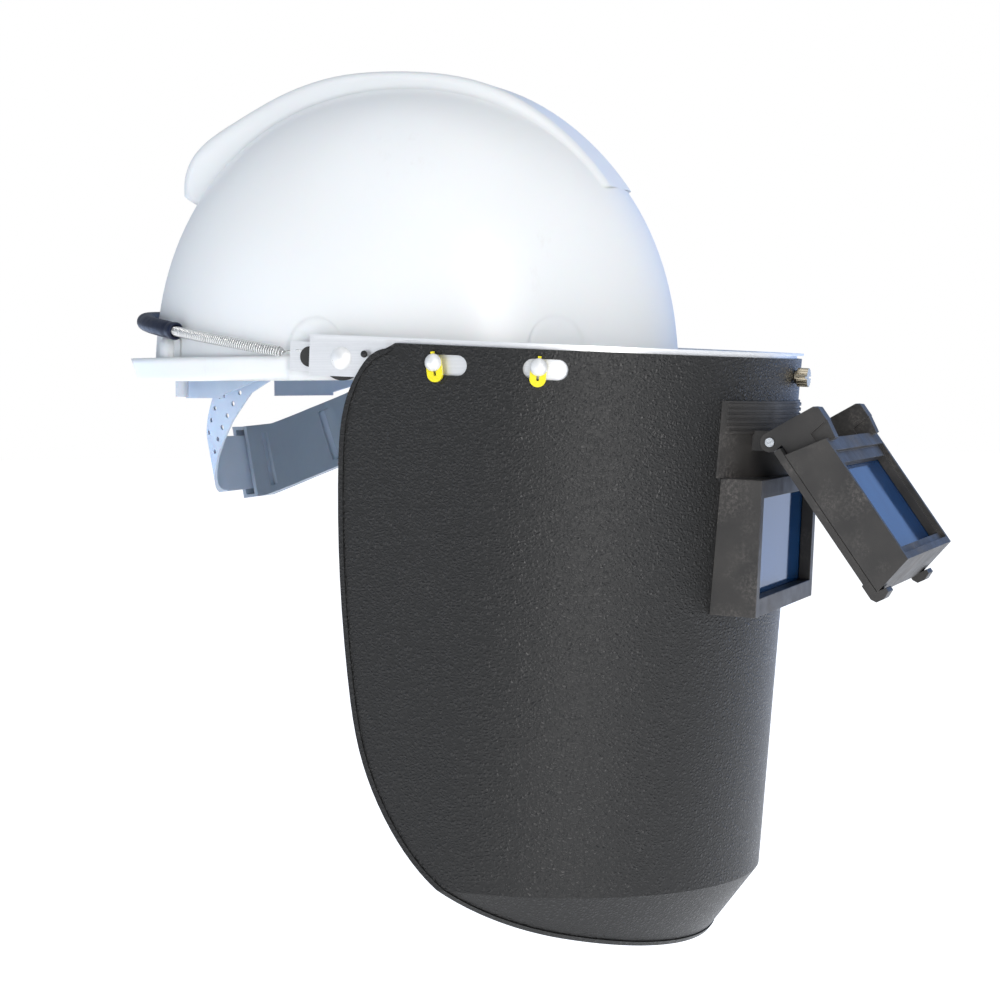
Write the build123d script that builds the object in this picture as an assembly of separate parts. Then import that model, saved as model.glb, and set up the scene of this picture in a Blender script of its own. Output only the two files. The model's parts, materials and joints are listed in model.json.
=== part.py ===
"""Hard hat with a spring-held aluminium bracket, a lift-up face shield and a flip-up filter window.

The wearer faces -Y, the wearer's left is +X, and +Z is up. The origin is the centre of the head
opening, on the plane of the shell's lower rim. Outlines are given as (forward, height) or
(across, forward) pairs, where forward is measured along -Y. All sizes are in millimetres.
"""

import os
from functools import cache
from math import asin, cos, degrees, hypot, pi, radians, sin, tan

from build123d import *

# --- Shell -------------------------------------------------------------------------------------
DOME_HALF_LENGTH = 127.5
DOME_HALF_WIDTH = 103.5
DOME_HEIGHT = 138.0
DOME_FULLNESS = 2.2  # superellipse exponent of the dome's side profile
SHELL_WALL = 2.4
RIDGE_HALF_WIDTH = 22.0
RIDGE_RISE = 7.5  # ridge crown above the dome's top
RIDGE_EDGE_RADIUS = 7.0
RIM_HEIGHT = 11.0
RIM_WALL = 2.0
RIM_EDGE_RADIUS = 3.0
RIM_SIDE_PROUD = 0.7  # rim outside the dome at the sides, at the lip's top
RIM_REAR_PROUD = 14.0  # rain gutter behind the dome, at the lip's top
RIM_FLARE = 4.5  # how far the lip leans out over its height, at the rear
PEAK_LENGTH = 44.0  # peak in front of the dome
SOCKET_WIDTH = 26.0
SOCKET_HEIGHT = 27.6
SOCKET_PROUD = 0.6
# Plan positions (across, forward) of the key sockets on one side: front, side, rear.
SOCKET_SPOTS = {"front": (70.0, 94.0), "side": (103.0, -7.0), "rear": (68.0, -96.0)}

# --- Suspension --------------------------------------------------------------------------------
KEY_WIDTH = 20.0
KEY_TOP = 24.0
KEY_THICKNESS = 2.6
SEAT_GAP = 0.3
REAR_PEG_DEPTH = 7.3
PEG_RADIUS = 3.0
WEB_WIDTH = 18.0
WEB_THICKNESS = 1.4
CROWN_CLEARANCE = 32.0
HEADBAND_HALF_WIDTH = 78.0
HEADBAND_FRONT = 92.0
HEADBAND_REAR_REACH = 128.0  # rear half-ellipse that the band's open ends follow
HEADBAND_END = -96.0
HEADBAND_THICKNESS = 1.8
HEADBAND_LOW = -8.0  # at the rear ends; the rest stops at the rim's plane
HEADBAND_STEP = (-50.0, -70.0)  # where the lower edge drops, measured forward
HEADBAND_HIGH = 22.0
HANGER_WIDTH = 12.0
HANGER_HEIGHT = 7.0
BROW_PAD_THICKNESS = 3.0
BROW_PAD_REACH = 40.0  # how far back the pad's ends lie
NAPE_REAR = 113.0
NAPE_LEAN = 6.0  # the nape strap narrows towards its lower edge
NAPE_THICKNESS = 1.6
NAPE_LEAN_HEIGHT = 38.0  # the height over which it leans in by that much
NAPE_LEVEL = 22.0  # height at which the strap is as wide as the headband's inside
NAPE_WIDTHS = {"right": 27.0, "left": 32.0}  # measured upright
# Middle lines of the two straps on their own sides, as (forward, height) points.
NAPE_LINES = {
    "right": [(-45.0, 14.0), (-58.0, 8.0), (-72.0, -5.0), (-86.0, -21.0), (-94.0, -32.0), (-100.0, -41.0)],
    "left": [(-40.0, -14.0), (-59.0, -25.0), (-74.0, -32.0), (-89.0, -39.5), (-100.0, -41.0)],
}
NAPE_STARTS = {
    "right": (-15.0, 14.0),
    "left": (-15.0, 0.0),
}
NAPE_HOLE_COUNT = 8
NAPE_HOLE_ROWS = (-4.5, 4.5)
NAPE_HOLE_RADIUS = 1.2
SLEEVE_WALL = 1.6
SLEEVE_CENTRE = 37.0  # the sleeve lies towards the wearer's left
SLEEVE_HALF_SPAN = 20.0
SLEEVE_SLOT = 3.0
SLEEVE_SLOT_SPREAD = 11.0
STRAP_OVERLAP = 12.0

# --- Bracket -----------------------------------------------------------------------------------
PIVOT_FORWARD = 8.0
PIVOT_HEIGHT = 9.7
CARRIER_TILT = 3.0  # degrees, nose down
NOSE_CENTRE = 65.4  # forward from the pivot to the centre of every round front
VISOR_HALF_WIDTH = 112.0
VISOR_WALL = 1.6
VISOR_GAP = 0.4  # between the shield and the band it hangs on
BAND_WALL = 1.5
BAND_TOP = 10.0
BAND_BOTTOM = -8.0
BAND_REAR = -15.0
LIP_WIDTH = 3.0
LIP_THICKNESS = 1.0
DEFLECTOR_WIDTH = 14.0  # inward flange over the hat's peak
PLY_GAP = 1.4  # between the inner and outer bands, taken by the friction washers
PLATE_HALF_HEIGHT = 6.5
PLATE_REAR = -25.5
RIVET_SHANK = 2.4
RIVET_HEAD = 5.0
RIVET_DOME = 2.6
RIVET_TAIL = 0.9
RUNNING_GAP = 0.05
WASHER_RADIUS = 9.8
ANCHOR_RADIUS = 4.5
ANCHOR_BACK = 15.6
STUD_SPOTS = {"rear": 44.5, "front": 90.4}
STUD_SHANK = 1.9
STUD_HEAD = 3.8
STUD_DOME = 2.6
SLOT_LENGTH = 19.4
SLOT_HEIGHT = 8.8
SLOT_DROP = 0.9
SLOT_SHIFTS = {"rear": 5.0, "front": 2.6}
CLIP_WIDTH = 7.0
CLIP_LENGTH = 12.0
CLIP_THICKNESS = 1.5
CLIP_GAP = 0.3
CLIP_TURNS = {
    ("right", "rear"): 10.0,
    ("right", "front"): -3.0,
    ("left", "rear"): -5.0,
    ("left", "front"): 4.0,
}
SCREW_HEIGHT = -0.6
SCREW_SHANK = 1.6
SCREW_HEAD = 4.3
SCREW_HEAD_LENGTH = 5.0
SCREW_COLLAR = 1.2
SCREW_KNURLS = 18
NUT_THICKNESS = 0.8
NUT_WIDTH = 6.0

# --- Tension spring ----------------------------------------------------------------------------
SPRING_RADIUS = 2.4
SPRING_WIRE = 0.9
SPRING_SLOPE = 9.0  # degrees, rising to the rear
SPRING_START = 21.0  # behind the origin
SPRING_ANCHOR_HEIGHT = 12.6
TUBE_RADIUS = 4.0
TUBE_BORE = 2.7
TUBE_START = 86.0

# --- Shield ------------------------------------------------------------------------------------
VISOR_TOP = 7.6
VISOR_TAPER = 2.1  # degrees that the front leans in
CREASE_HEIGHT = -229.0
CHIN_DEPTH = 33.0
CHIN_SETBACK = 23.0
BEAD_WIDTH = 2.2
BEAD_RISE = 0.7

# --- Lens holder -------------------------------------------------------------------------------
GLASS_WIDTH = 108.0
GLASS_HEIGHT = 51.0
GLASS_GAP = 0.4
COVER_THICKNESS = 2.5
FILTER_THICKNESS = 3.0
BOX_HALF_WIDTH = 58.0
BOX_HEIGHT = 60.1
BOX_TOP = -45.4
BOX_FRONT = 178.0
BOX_NECK_REAR = 167.5  # behind this the neck would meet the inner band as the shield lifts
WINDOW_WIDTH = 104.0
WINDOW_HEIGHT = 44.0
LENS_DEPTH = 5.6
NECK_WALL = 1.8
PANEL_HALF_WIDTH = 60.5
PANEL_TOP = -11.5
PANEL_PROUD = 0.8
RIB_COUNT = 6
RIB_PITCH = 2.4
RIB_RISE = 0.7

# --- Flip-up holder ----------------------------------------------------------------------------
PIN_FORWARD = 179.3
PIN_HEIGHT = -28.8
PIN_RADIUS = 2.0
PIN_HALF_LENGTH = 53.2
KNUCKLE_RADIUS = 4.4
LUG_INNER = 42.4
LUG_WIDTH = 10.0
LUG_NOTCH = 1.2
HINGE_BLOCK_WIDTH = 16.0
HINGE_SIDE_GAP = 0.4
FLIP_REST = 37.5  # degrees open at rest
BACK_PLATE = 3.2
FLIP_BACK = 3.4
FLIP_FRONT = 22.5
FLIP_STEP = 2.0
FLIP_FACE_WALL = 4.0
FLIP_WINDOW_CENTRE = -46.9
FLIP_TOP_BACK = -8.8
FLIP_TOP_FRONT = -13.0
FLIP_BOTTOM_FRONT = -75.5
FLIP_BOTTOM_BACK = -80.0
FOOT_WIDTH = 12.0

SIDES = {"right": -1, "left": 1}


def side_prism(points, low, high):
    """Solid between two planes across the hat, from (forward, height) points."""
    corners = [(0, -forward, height) for forward, height in points]
    face = make_face(Polyline(*corners, close=True))
    return Pos(low, 0, 0) * extrude(face, amount=high - low, dir=(1, 0, 0))


def block(across, forward, height):
    """Box between two limits in each direction."""
    size = (across[1] - across[0], forward[1] - forward[0], height[1] - height[0])
    middle = (sum(across) / 2, -sum(forward) / 2, sum(height) / 2)
    return Pos(*middle) * Box(*size)


def rod_across(radius, low, high, forward=0.0, height=0.0):
    """Cylinder along X."""
    return Pos((low + high) / 2, -forward, height) * Rot(0, 90, 0) * Cylinder(radius, high - low)


def in_carrier(shape):
    """Turn a piece drawn level about the pivot into its place on the hat."""
    return Pos(0, -PIVOT_FORWARD, PIVOT_HEIGHT) * Rot(CARRIER_TILT, 0, 0) * shape


def in_flip(shape):
    """Place a piece drawn about the window's hinge pin, at its angle at rest."""
    return in_carrier(Pos(0, -PIN_FORWARD, PIN_HEIGHT) * Rot(-FLIP_REST, 0, 0) * shape)


# --- Shell pieces ------------------------------------------------------------------------------
def dome(inset, crown_inset=None):
    """Solid dome, inset from the shell's outer face by a wall at the rim and at the crown."""
    crown_inset = inset if crown_inset is None else crown_inset
    length, width = DOME_HALF_LENGTH - inset, DOME_HALF_WIDTH - inset
    height = DOME_HEIGHT - crown_inset
    power = 2 / DOME_FULLNESS
    steps = 8
    levels = []
    for step in range(steps):
        angle = pi / 2 * step / steps
        share = cos(angle) ** power
        level = Ellipse(width * share, length * share).face()
        levels.append(Pos(0, 0, height * sin(angle) ** power) * level)
    return loft(levels + [Vertex(0, 0, height)])


def ridge(inset):
    """Solid crest that runs from the steep rear step over the crown."""
    crown = DOME_HEIGHT + RIDGE_RISE - inset
    rear = -DOME_HALF_LENGTH + 15.0
    points = [
        (rear + inset, 90.0),
        (rear + inset + 5.0, crown - 37.0),
        (rear + inset + 27.5, crown - 21.0),
        (rear + 54.0, crown - 8.5),
        (rear + 80.0, crown - 1.7),
        (rear + 106.0, crown - 0.5),
        (rear + 132.0, crown - 2.6),
        (rear + 157.0, crown - 9.0),
        (rear + 193.0 - inset, crown - 31.5),
        (rear + 216.0 - inset, crown - 58.0),
    ]
    top = Spline(*[(0, -forward, height) for forward, height in points])
    first, last = points[0], points[-1]
    close = Polyline((0, -last[0], last[1]), (0, -40, 70), (0, 60, 60), (0, -first[0], first[1]))
    half = RIDGE_HALF_WIDTH - inset
    crest = Pos(-half, 0, 0) * extrude(make_face(top + close), amount=2 * half, dir=(1, 0, 0))
    edges = [edge for edge in crest.edges() if edge.geom_type == GeomType.BSPLINE]
    return fillet(edges, RIDGE_EDGE_RADIUS - inset)


def rim_outline(across, rear, front, height):
    """Egg-shaped plan outline of the rim: one half-ellipse behind and one in front."""
    back = EllipticalCenterArc((0, 0), across, rear, 0, arc_size=180)
    nose = EllipticalCenterArc((0, 0), across, front, 180, arc_size=180)
    return Pos(0, 0, height) * make_face(back + nose)


def rim_tray(inset, low, high):
    """Solid rim, flared outward as it rises."""
    faces = []
    for height in (low, high):
        share = height / RIM_HEIGHT
        across = DOME_HALF_WIDTH + RIM_SIDE_PROUD * share - inset
        rear = DOME_HALF_LENGTH + RIM_REAR_PROUD - RIM_FLARE * (1 - share) - inset
        front = DOME_HALF_LENGTH + PEAK_LENGTH - inset
        faces.append(rim_outline(across, rear, front, height))
    return loft(faces, ruled=True)


def spot_plane(across, forward, height=0.0):
    """Plane at a plan position, with X outward from the dome and Z up."""
    outward = Vector(across / DOME_HALF_WIDTH**2, -forward / DOME_HALF_LENGTH**2, 0)
    return Plane(origin=(across, -forward, height), x_dir=outward.normalized(), z_dir=(0, 0, 1))


def radial_bar(across, forward, width, low, high, inner=14.0, outer=14.0):
    """Upright bar that crosses the shell's wall at a plan position."""
    bar = Pos((outer - inner) / 2, 0, (low + high) / 2) * Box(inner + outer, width, high - low)
    return spot_plane(across, forward).location * bar


def arch(across, forward):
    """Upright bar with a round top, the outline of one key socket."""
    radius = SOCKET_WIDTH / 2
    spring_line = SOCKET_HEIGHT - radius
    column = radial_bar(across, forward, SOCKET_WIDTH, 0, spring_line)
    top = Pos(0, 0, spring_line) * Rot(0, 90, 0) * Cylinder(radius, 28)
    return column + spot_plane(across, forward).location * top


def shell():
    outer = dome(0) + ridge(0)
    lip = rim_tray(0, 0, RIM_HEIGHT)
    lip = fillet(lip.faces().sort_by(Axis.Z)[0].edges(), RIM_EDGE_RADIUS)
    lip -= rim_tray(RIM_WALL, SHELL_WALL, RIM_HEIGHT + 1)
    lip -= block((-130, 130), (40, 200), (SHELL_WALL, RIM_HEIGHT + 2))
    pads = dome(-SOCKET_PROUD)
    body = outer + lip
    for sign in SIDES.values():
        for across, forward in SOCKET_SPOTS.values():
            body += pads & arch(sign * across, forward)
    body -= dome(SHELL_WALL)
    body -= ridge(SHELL_WALL)
    return body


@cache
def key_layer():
    """Thin layer just inside the shell that every key is cut from."""
    inset = SHELL_WALL + SEAT_GAP
    return dome(inset) - dome(inset + KEY_THICKNESS)


def suspension_key(sign, spot):
    """Moulded key that follows the shell's inner face at one socket."""
    across, forward = SOCKET_SPOTS[spot]
    inset = SHELL_WALL + SEAT_GAP
    plate = key_layer() & radial_bar(sign * across, forward, KEY_WIDTH, 0.5, KEY_TOP)
    if spot == "rear":
        foot = spot_plane(sign * across, forward).location
        away = inset + KEY_THICKNESS / 2 + PEG_RADIUS - 1.0
        peg = Cylinder(PEG_RADIUS, REAR_PEG_DEPTH + 1.5)
        plate += foot * Pos(-away, 0, (1.5 - REAR_PEG_DEPTH) / 2) * peg
        plate += foot * Pos(-away, 0, 3.0) * Box(2 * PEG_RADIUS, 2 * PEG_RADIUS, 5.0)
    return plate


def crown_web():
    """Three straps in one moulding, crossing over the wearer's crown."""
    inset = SHELL_WALL + SEAT_GAP + KEY_THICKNESS + SEAT_GAP
    web = dome(inset, CROWN_CLEARANCE)
    web -= dome(inset + WEB_THICKNESS, CROWN_CLEARANCE + WEB_THICKNESS)
    lines = None
    for across, forward in SOCKET_SPOTS.values():
        for sign in SIDES.values():
            reach = hypot(across, forward) + 20
            turn = degrees(asin(max(-1, min(1, -forward / hypot(across, forward)))))
            turn = turn if sign > 0 else 180 - turn
            bar = Rot(0, 0, turn) * Pos(reach / 2, 0, 90) * Box(reach, WEB_WIDTH, 168)
            lines = bar if lines is None else lines + bar
    return web & lines


def headband_outline(inset):
    across = HEADBAND_HALF_WIDTH - inset
    return rim_outline(across, HEADBAND_REAR_REACH - inset, HEADBAND_FRONT - inset, 0)


def headband():
    """Open plastic band with hangers that reach out to the keys."""
    ring = extrude(headband_outline(0) - headband_outline(HEADBAND_THICKNESS), HEADBAND_HIGH - HEADBAND_LOW)
    ring = Pos(0, 0, HEADBAND_LOW) * ring
    ring -= block((-130, 130), (-200, HEADBAND_END), (HEADBAND_LOW - 1, HEADBAND_HIGH + 1))
    step, foot = HEADBAND_STEP
    floor = HEADBAND_LOW - 5
    below = [(120, 0), (step, 0), (foot, HEADBAND_LOW + 1.5), (foot, floor), (120, floor)]
    ring -= side_prism(below, -130, 130)
    inset = SHELL_WALL + SEAT_GAP + KEY_THICKNESS + SEAT_GAP + WEB_THICKNESS + SEAT_GAP
    core = extrude(headband_outline(HEADBAND_THICKNESS / 2), 60)
    limit = dome(inset, CROWN_CLEARANCE + WEB_THICKNESS + SEAT_GAP) - Pos(0, 0, -20) * core
    for sign in SIDES.values():
        for spot in ("front", "rear"):
            across, forward = SOCKET_SPOTS[spot]
            bar = radial_bar(sign * across, forward, HANGER_WIDTH, 6.0, 6.0 + HANGER_HEIGHT, 45, 10)
            ring += limit & bar
    return ring


def brow_pad():
    """Soft sweatband along the front of the headband's inner face."""
    outer_inset = HEADBAND_THICKNESS + SEAT_GAP
    ring = headband_outline(outer_inset) - headband_outline(outer_inset + BROW_PAD_THICKNESS)
    pad = Pos(0, 0, 1) * extrude(ring, HEADBAND_HIGH - 2)
    return pad & block((-100, 100), (BROW_PAD_REACH, 120), (-30, 40))


def nape_cone(inset, low=-75.0, high=20.0):
    """Solid oval cone that the nape strap wraps, narrower below."""
    faces = []
    for height in (low, high):
        lean = NAPE_LEAN * (height - NAPE_LEVEL) / NAPE_LEAN_HEIGHT
        across = HEADBAND_HALF_WIDTH - HEADBAND_THICKNESS - SEAT_GAP + lean - inset
        rear = NAPE_REAR + lean - inset
        faces.append(Pos(0, 0, height) * Ellipse(across, rear))
    return loft(faces, ruled=True)


def nape_strip(name, grow, low, high, shorten=0.0):
    """Slab between two planes across the hat, with one strap's side outline grown at its edges."""
    half = NAPE_WIDTHS[name] / 2 + grow
    line = NAPE_LINES[name]
    start, height = NAPE_STARTS[name]
    middle = [(start - shorten, height)] + line + [(-140.0, line[-1][1])]
    upper = [(forward, height + half) for forward, height in middle]
    lower = [(forward, height - half) for forward, height in reversed(middle)]
    return side_prism(upper + lower, low, high)


@cache
def nape_ring(inset, thickness):
    return nape_cone(inset) - nape_cone(inset + thickness, -76, 21)


def nape_holes():
    """Two rows of pegs that cut the right strap's size holes along its middle line."""
    rows = None
    line = Polyline(*[(0, -forward, height) for forward, height in NAPE_LINES["right"]])
    for step in range(NAPE_HOLE_COUNT):
        middle = line @ (0.16 + 0.66 * step / (NAPE_HOLE_COUNT - 1))
        for row in NAPE_HOLE_ROWS:
            peg = rod_across(NAPE_HOLE_RADIUS, -110, -8, -middle.Y - row / 2, middle.Z + row)
            rows = peg if rows is None else rows + peg
    return rows


def nape_strap(name):
    """One half of the size strap; the right one is narrow and carries the size holes."""
    if name == "right":
        ring = nape_ring(0.0, NAPE_THICKNESS)
        strip = nape_strip("right", 0, -100, 0)
        tongue = nape_strip("left", (NAPE_WIDTHS["right"] - NAPE_WIDTHS["left"]) / 2, 0, 100)
        strip += tongue & block((0, SLEEVE_CENTRE + STRAP_OVERLAP), (-150, 0), (-80, 40))
    else:
        ring = nape_ring(NAPE_THICKNESS + SEAT_GAP, NAPE_THICKNESS)
        strip = nape_strip("left", 0, -100, 100)
        strip &= block((SLEEVE_CENTRE - STRAP_OVERLAP, 120), (-150, 0), (-80, 40))
    strap = ring & strip
    return strap - nape_holes() if name == "right" else strap


def nape_sleeve():
    """Rectangular sleeve round the two overlapping straps, with two slots in its inner wall."""
    low, high = SLEEVE_CENTRE - SLEEVE_HALF_SPAN, SLEEVE_CENTRE + SLEEVE_HALF_SPAN
    stack = 2 * NAPE_THICKNESS + SEAT_GAP
    body = nape_ring(-SEAT_GAP - SLEEVE_WALL, stack + 2 * (SEAT_GAP + SLEEVE_WALL))
    body &= nape_strip("left", SEAT_GAP + SLEEVE_WALL, low, high)
    body &= block((low, high), (-150, -30), (-90, 40))
    bore = nape_strip("left", SEAT_GAP, low - 1, high + 1, -5.0)
    body -= nape_ring(-SEAT_GAP, stack + 2 * SEAT_GAP) & bore
    for sign in SIDES.values():
        across = SLEEVE_CENTRE + sign * SLEEVE_SLOT_SPREAD
        cut = nape_strip("left", -2.0, across - SLEEVE_SLOT / 2, across + SLEEVE_SLOT / 2)
        body -= cut & nape_cone(stack - 0.2) & block((low, high), (-150, -30), (-90, 40))
    return body


# --- Bracket pieces ----------------------------------------------------------------------------
def u_face(half_width, front, rear):
    """Plan face with straight sides and a half-round front."""
    centre = front - half_width
    left = Line((half_width, -rear), (half_width, -centre))
    nose = ThreePointArc((half_width, -centre), (0, -front), (-half_width, -centre))
    right = Line((-half_width, -centre), (-half_width, -rear))
    back = Line((-half_width, -rear), (half_width, -rear))
    return make_face(left + nose + right + back)


@cache
def u_solid(half_width, rear, low, high):
    """Upright U prism about the carrier's nose centre."""
    face = u_face(half_width, NOSE_CENTRE + half_width, rear)
    return Pos(0, 0, low) * extrude(face, high - low)


def wall_plane(sign, forward, height, half_width):
    """Plane on a U-shaped wall, with Z outward and Y up."""
    turn = asin(max(0.0, (forward - NOSE_CENTRE) / BAND_OUTER))
    outward = Vector(sign * cos(turn), -sin(turn), 0)
    if turn > 0:
        place = Vector(0, -NOSE_CENTRE, height) + outward * half_width
    else:
        place = Vector(sign * half_width, -forward, height)
    along = Vector(0, 0, 1).cross(outward)
    return Plane(origin=place, x_dir=along, z_dir=outward)


BAND_OUTER = VISOR_HALF_WIDTH - VISOR_WALL - VISOR_GAP
BAND_INNER = BAND_OUTER - BAND_WALL
PLATE_OUTER = BAND_INNER - PLY_GAP
PLATE_INNER = PLATE_OUTER - BAND_WALL


def inner_band():
    """Fixed aluminium strip round the hat, pulled against it by the spring."""
    band = u_solid(PLATE_OUTER, PLATE_REAR, -PLATE_HALF_HEIGHT, PLATE_HALF_HEIGHT)
    band -= u_solid(PLATE_INNER, PLATE_REAR - 1, -PLATE_HALF_HEIGHT - 1, PLATE_HALF_HEIGHT + 1)
    band -= rod_across(RIVET_SHANK, -120, 120)
    band -= rod_across(ANCHOR_RADIUS / 2, -120, 120, -ANCHOR_BACK)
    return in_carrier(band)


def outer_band():
    """Aluminium strip that turns on the pivots, with a lip and a deflector flange at its top."""
    band = u_solid(BAND_OUTER, BAND_REAR, BAND_BOTTOM, BAND_TOP)
    band += u_solid(BAND_OUTER + LIP_WIDTH, BAND_REAR + 1, BAND_TOP - LIP_THICKNESS, BAND_TOP)
    band -= u_solid(BAND_INNER, BAND_REAR - 1, BAND_BOTTOM - 1, BAND_TOP + 1)
    flange = u_solid(BAND_INNER + 0.5, NOSE_CENTRE - 3, BAND_TOP - LIP_THICKNESS, BAND_TOP)
    flange -= u_solid(BAND_INNER - DEFLECTOR_WIDTH, NOSE_CENTRE - 4, BAND_BOTTOM, BAND_TOP + 1)
    band += flange
    band -= rod_across(RIVET_SHANK + RUNNING_GAP, -120, 120)
    for sign in SIDES.values():
        for forward in STUD_SPOTS.values():
            band -= wall_plane(sign, forward, 0, BAND_OUTER).location * Cylinder(STUD_SHANK, 12)
    band -= Pos(0, -NOSE_CENTRE - BAND_OUTER, SCREW_HEIGHT) * Rot(90, 0, 0) * Cylinder(SCREW_SHANK, 12)
    return in_carrier(band)


def domed_head(radius, rise):
    """Low domed head that stands on the plane Z = 0."""
    sphere_radius = (radius**2 + rise**2) / (2 * rise)
    ball = Pos(0, 0, rise - sphere_radius) * Sphere(sphere_radius)
    return ball & Pos(0, 0, rise / 2) * Cylinder(radius * 1.01, rise)


def rivet(sign):
    """Pivot rivet: a domed head outside and a flat tail inside the inner band."""
    out = wall_plane(sign, 0, 0, BAND_OUTER).location
    depth = BAND_OUTER - PLATE_INNER
    body = Pos(0, 0, RUNNING_GAP) * domed_head(RIVET_HEAD, RIVET_DOME)
    body += Pos(0, 0, (RUNNING_GAP * 2 - depth) / 2) * Cylinder(RIVET_SHANK, depth + 2 * RUNNING_GAP)
    body += Pos(0, 0, -depth - RIVET_TAIL / 2) * Cylinder(RIVET_HEAD - 1, RIVET_TAIL)
    return in_carrier(out * body)


def friction_washer(sign):
    out = wall_plane(sign, 0, 0, PLATE_OUTER + PLY_GAP / 2).location
    ring = Cylinder(WASHER_RADIUS, PLY_GAP - 2 * RUNNING_GAP) - Cylinder(RIVET_SHANK + RUNNING_GAP, PLY_GAP)
    return in_carrier(out * ring)


def spring_anchor(sign):
    """Black button on the inner band that the spring's end hooks on to."""
    out = wall_plane(sign, -ANCHOR_BACK, 0, PLATE_OUTER).location
    top = PLY_GAP - 3 * RUNNING_GAP
    disc = Pos(0, 0, (top + SPRING_WIRE) / 2) * Cylinder(ANCHOR_RADIUS, top - SPRING_WIRE)
    disc += Pos(0, 0, (top - BAND_WALL) / 2) * Cylinder(ANCHOR_RADIUS / 2, top + BAND_WALL)
    disc += Pos(0, 0, -BAND_WALL - 0.3) * Cylinder(ANCHOR_RADIUS - 1.5, 0.6)
    return in_carrier(out * disc)


def stud(sign, spot):
    """Snap stud riveted to the outer band, which stands through the shield's slot."""
    out = wall_plane(sign, STUD_SPOTS[spot], 0, BAND_OUTER).location
    neck = VISOR_GAP + VISOR_WALL + 2 * CLIP_GAP + CLIP_THICKNESS
    body = Pos(0, 0, neck) * domed_head(STUD_HEAD, STUD_DOME)
    body += Pos(0, 0, (neck - BAND_WALL) / 2) * Cylinder(STUD_SHANK, neck + BAND_WALL + 4 * RUNNING_GAP)
    body += Pos(0, 0, -BAND_WALL - 0.3 - RUNNING_GAP) * Cylinder(STUD_HEAD - 0.8, 0.6)
    return in_carrier(out * body)


def clip(sign, name, spot):
    """Keyhole tab that hangs on a stud under its head and pins the shield to the band."""
    out = wall_plane(sign, STUD_SPOTS[spot], 0, VISOR_HALF_WIDTH + CLIP_GAP).location
    tab = Pos(0, -(CLIP_LENGTH - CLIP_WIDTH) / 2) * SlotOverall(CLIP_LENGTH, CLIP_WIDTH, rotation=90)
    tab += Pos(0, CLIP_WIDTH / 2) * Rectangle(1.4, 2.4)
    tab -= Circle(STUD_SHANK + RUNNING_GAP)
    tab -= Pos(0, -4.2) * SlotOverall(3.4, 1.2, rotation=90)
    body = extrude(tab, CLIP_THICKNESS)
    return in_carrier(out * Rot(0, 0, CLIP_TURNS[(name, spot)]) * body)


def front_screw():
    """Knurled thumb screw that holds the shield to the band in front."""
    front = NOSE_CENTRE + VISOR_HALF_WIDTH + CLIP_GAP
    face = Plane(origin=(0, -front, SCREW_HEIGHT), x_dir=(1, 0, 0), z_dir=(0, -1, 0))
    tail = VISOR_WALL + VISOR_GAP + BAND_WALL + CLIP_GAP + NUT_THICKNESS
    middle = SCREW_COLLAR + SCREW_HEAD_LENGTH / 2
    body = Pos(0, 0, SCREW_COLLAR / 2) * Cylinder(SCREW_HEAD - 1.2, SCREW_COLLAR)
    body += Pos(0, 0, middle) * Cylinder(SCREW_HEAD, SCREW_HEAD_LENGTH)
    for step in range(SCREW_KNURLS):
        groove = Pos(SCREW_HEAD, 0, middle) * Cylinder(0.35, SCREW_HEAD_LENGTH + 0.1)
        body -= Rot(0, 0, step * 360 / SCREW_KNURLS) * groove
    body -= Pos(0, 0, SCREW_COLLAR + SCREW_HEAD_LENGTH) * Box(2 * SCREW_HEAD, 0.9, 1.6)
    body += Pos(0, 0, -tail / 2) * Cylinder(SCREW_SHANK - RUNNING_GAP, tail)
    return in_carrier(face.location * body)


def front_nut():
    """Thin square nut held against the band's inner face."""
    face = Plane(origin=(0, -NOSE_CENTRE - BAND_INNER, SCREW_HEIGHT), x_dir=(1, 0, 0), z_dir=(0, 1, 0))
    nut = Box(NUT_WIDTH, NUT_WIDTH, NUT_THICKNESS) - Cylinder(SCREW_SHANK, 2)
    return in_carrier(face.location * Pos(0, 0, RUNNING_GAP + NUT_THICKNESS / 2) * nut)


# --- Tension spring ----------------------------------------------------------------------------
def spring_path(start):
    """Three tangent arcs round the back of the dome, in a plane that rises to the rear."""
    slope = radians(SPRING_SLOPE)
    across = DOME_HALF_WIDTH - 0.7 + TUBE_RADIUS + SEAT_GAP
    rear = (DOME_HALF_LENGTH - 0.4 + TUBE_RADIUS + 2 * SEAT_GAP) / cos(slope)
    small = 0.69 * rear
    offset = rear - small
    large = (across**2 + offset**2 - small**2) / (2 * (across - small))
    shift = large - across
    meet = degrees(asin(offset / (large - small)))
    start_angle = degrees(asin(start / cos(slope) / large))
    side = CenterArc((-shift, 0), large, start_angle, meet - start_angle)
    back = CenterArc((0, offset), small, meet, 180 - 2 * meet)
    other = CenterArc((shift, 0), large, 180 - meet, meet - start_angle)
    lift = SPRING_ANCHOR_HEIGHT - SPRING_START * tan(slope)
    return Pos(0, 0, lift) * Rot(SPRING_SLOPE, 0, 0) * (side + back + other)


def tube_along(path, radius, bore=0.0):
    start = path.edges().sort_by(Axis.X)[-1] @ 0
    heading = path.edges().sort_by(Axis.X)[-1] % 0
    ring = Circle(radius) - Circle(bore) if bore else Circle(radius)
    return sweep(Plane(origin=start, z_dir=heading) * ring, path=path)


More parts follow.
